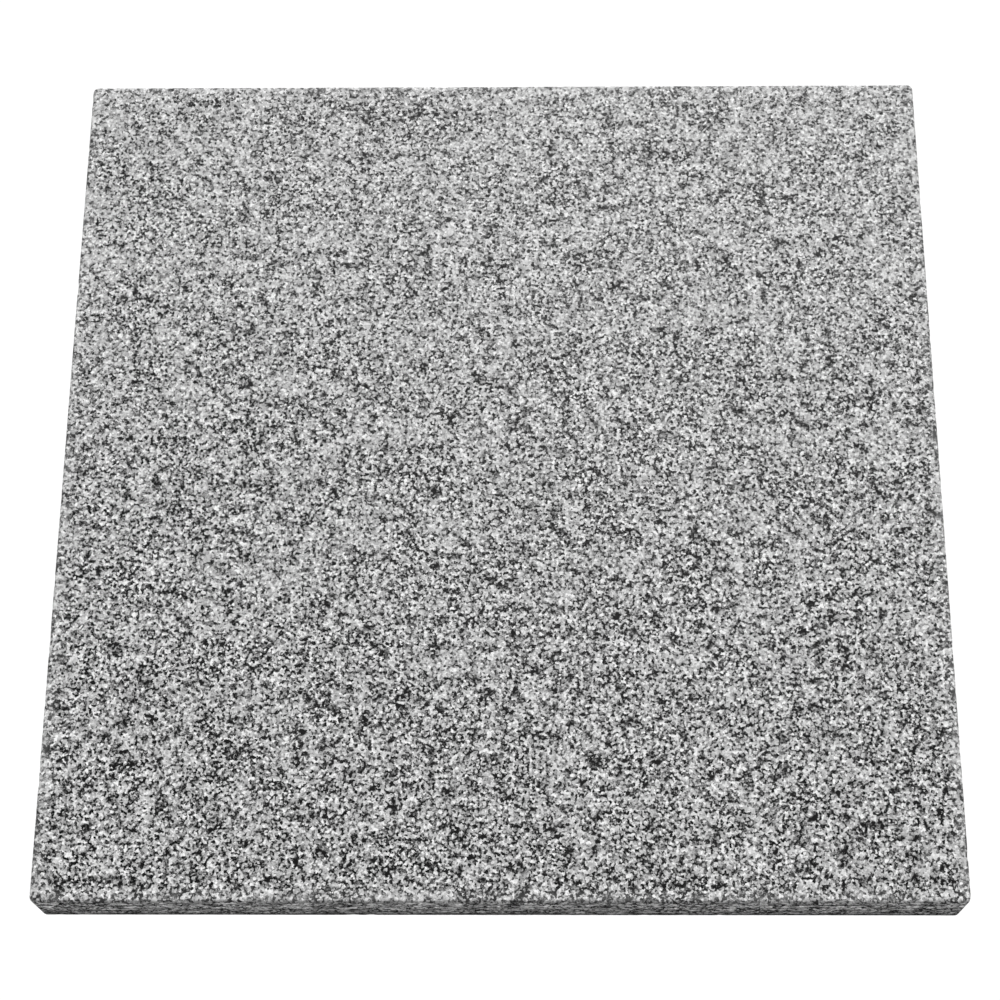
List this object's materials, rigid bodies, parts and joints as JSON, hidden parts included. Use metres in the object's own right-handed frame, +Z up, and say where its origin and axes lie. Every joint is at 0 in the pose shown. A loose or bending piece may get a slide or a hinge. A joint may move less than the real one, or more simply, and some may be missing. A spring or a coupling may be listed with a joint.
{
  "type": "granite slab",
  "caption": "Flat square slab of fine-worked salt-and-pepper grey granite with eased edges, used as a hard, heavy base for stamping, punching and riveting leather.",
  "frame": {"origin": "centre of the flat face that the slab rests on", "axes": "+Z up, out of the working face; X along the width and Y along the depth, which are equal"},
  "size_m": [0.3, 0.3, 0.022],
  "materials": {
    "granite": "matt, fine-worked natural granite; pale grey feldspar and quartz with 1 to 2 mm black mica flecks, sawn sides and underside"
  },
  "bodies": {
    "root": {"granite_slab": "granite"}
  },
  "joints": []
}
